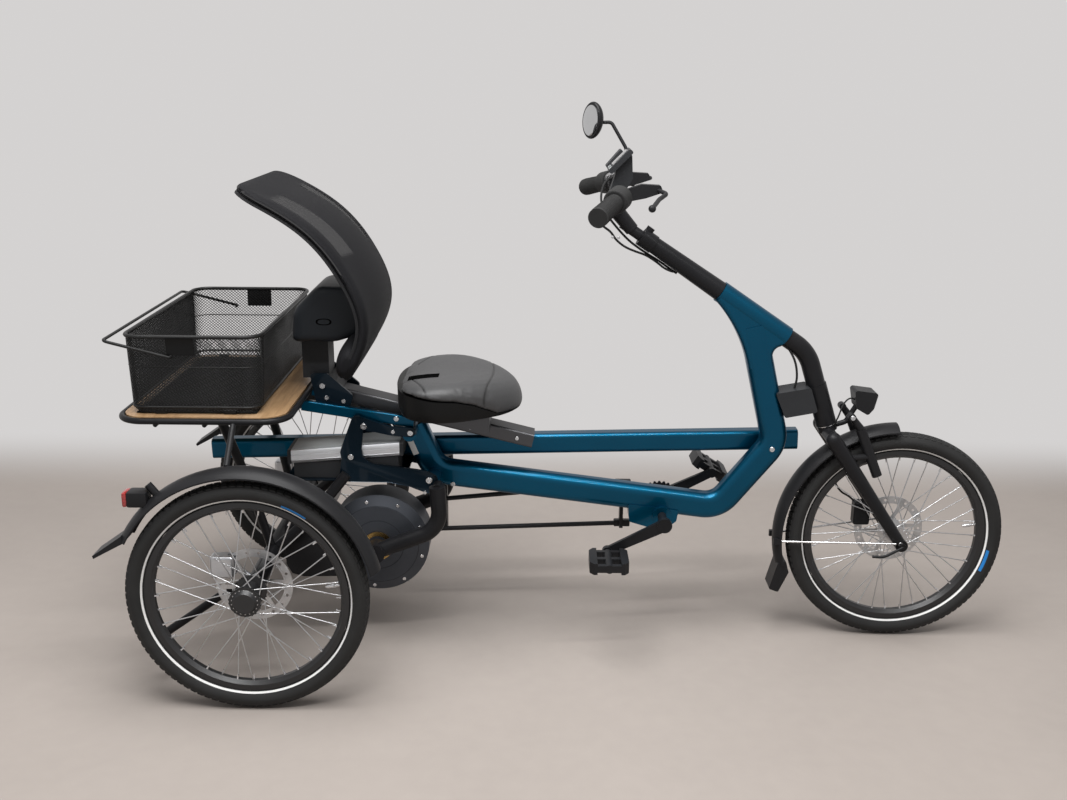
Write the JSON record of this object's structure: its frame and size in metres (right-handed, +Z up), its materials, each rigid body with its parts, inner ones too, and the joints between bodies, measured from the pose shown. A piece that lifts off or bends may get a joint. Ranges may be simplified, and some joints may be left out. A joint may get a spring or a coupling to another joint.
{
  "type": "semi-recumbent electric tricycle",
  "caption": "Semi-recumbent tricycle with a low step-through tube, saddle and mesh backrest, rear carrier with wire basket, hub drive and tiller-like handlebar.",
  "frame": {"origin": "on the ground under the middle of the whole vehicle", "axes": "+X forward, +Y to the rider's left, +Z up"},
  "size_m": [1.9649, 0.789, 1.2154],
  "materials": {
    "frame_paint": "gloss petrol blue powder coat",
    "navy_paint": "near-black navy powder coat",
    "satin_black": "satin black powder coat",
    "dark_aluminium": "dark anodised",
    "silver_aluminium": "brushed, clear anodised",
    "dark_grey_plastic": "fine grained",
    "black_plastic": "fine grained",
    "grip_rubber": "ribbed",
    "seat_cover": "soft grained leatherette",
    "back_mesh": "open knitted mesh",
    "plywood": "oiled birch plywood",
    "black_wire": "black coated expanded wire",
    "red_lens": "clear red lens in a black housing",
    "tyre_rubber": "reflective stripe on the sidewall",
    "rim_black": "satin black rim, steel spokes"
  },
  "bodies": {
    "frame": {"main_frame": "frame_paint", "upper_stay": "frame_paint", "gooseneck": "satin_black", "controller_box": "dark_grey_plastic", "side_rails": "frame_paint", "seat_rail": "dark_aluminium", "seat_pad": "seat_cover", "back_gussets": "frame_paint", "back_column": "dark_grey_plastic", "lumbar_housing": "dark_grey_plastic", "backrest_rim": "black_plastic", "backrest_panel": "back_mesh", "frame_plates": "navy_paint", "rear_struts": "satin_black", "drive_arms": "satin_black", "axle_beam": "satin_black", "battery": "silver_aluminium", "chain_guards": "black_plastic", "carrier_frame": "satin_black", "carrier_board": "plywood", "basket": "black_wire", "fender_right": "black_plastic", "fender_left": "black_plastic", "tail_lights": "red_lens", "rear_calipers": "silver_aluminium"},
    "handlebar": {"handlebar": "satin_black", "grips": "grip_rubber", "levers": "black_plastic", "display": "dark_grey_plastic", "mirror": "black_plastic"},
    "fork": {"fork": "satin_black", "front_fender": "black_plastic", "headlight": "black_plastic", "rim_brake": "black_plastic", "front_caliper": "satin_black"},
    "front_wheel": {"front_tyre": "tyre_rubber", "front_rim": "rim_black"},
    "rear_wheel_right": {"rear_tyre_right": "tyre_rubber", "rear_rim_right": "rim_black"},
    "rear_wheel_left": {"rear_tyre_left": "tyre_rubber", "rear_rim_left": "rim_black"},
    "crank": {"crank_set": "satin_black"},
    "pedal_right": {"pedal_right": "black_plastic"},
    "pedal_left": {"pedal_left": "black_plastic"},
    "drive": {"drive_hub": "dark_aluminium"}
  },
  "joints": [
    {"name": "handlebar_turn", "type": "hinge", "parent": "frame", "child": "handlebar", "pos_m": [0.453, 0, 0.718], "axis": [-0.829, 0, 0.5592], "range_deg": [-35, 35]},
    {"name": "fork_turn", "type": "hinge", "parent": "frame", "child": "fork", "pos_m": [0.557, 0, 0.519], "axis": [-0.3123, 0, 0.95], "range_deg": [-35, 35]},
    {"name": "front_wheel_spin", "type": "hinge", "parent": "fork", "child": "front_wheel", "pos_m": [0.7325, 0, 0.25], "axis": [0, 1, 0], "continuous": true},
    {"name": "rear_wheel_right_spin", "type": "hinge", "parent": "frame", "child": "rear_wheel_right", "pos_m": [-0.6825, -0.3565, 0.25], "axis": [0, 1, 0], "continuous": true},
    {"name": "rear_wheel_left_spin", "type": "hinge", "parent": "frame", "child": "rear_wheel_left", "pos_m": [-0.6825, 0.3565, 0.25], "axis": [0, 1, 0], "continuous": true},
    {"name": "crank_spin", "type": "hinge", "parent": "frame", "child": "crank", "pos_m": [0.1905, 0, 0.303], "axis": [0, 1, 0], "continuous": true},
    {"name": "pedal_right_spin", "type": "hinge", "parent": "crank", "child": "pedal_right", "pos_m": [0.06364, -0.14, 0.2392], "axis": [0, 1, 0], "continuous": true},
    {"name": "pedal_left_spin", "type": "hinge", "parent": "crank", "child": "pedal_left", "pos_m": [0.31736, 0.14, 0.3668], "axis": [0, 1, 0], "continuous": true},
    {"name": "drive_spin", "type": "hinge", "parent": "frame", "child": "drive", "pos_m": [-0.4565, 0, 0.244], "axis": [0, 1, 0], "continuous": true}
  ],
  "couplings": [
    {"joint": "handlebar_turn", "follows": "fork_turn", "ratio": 1}
  ]
}
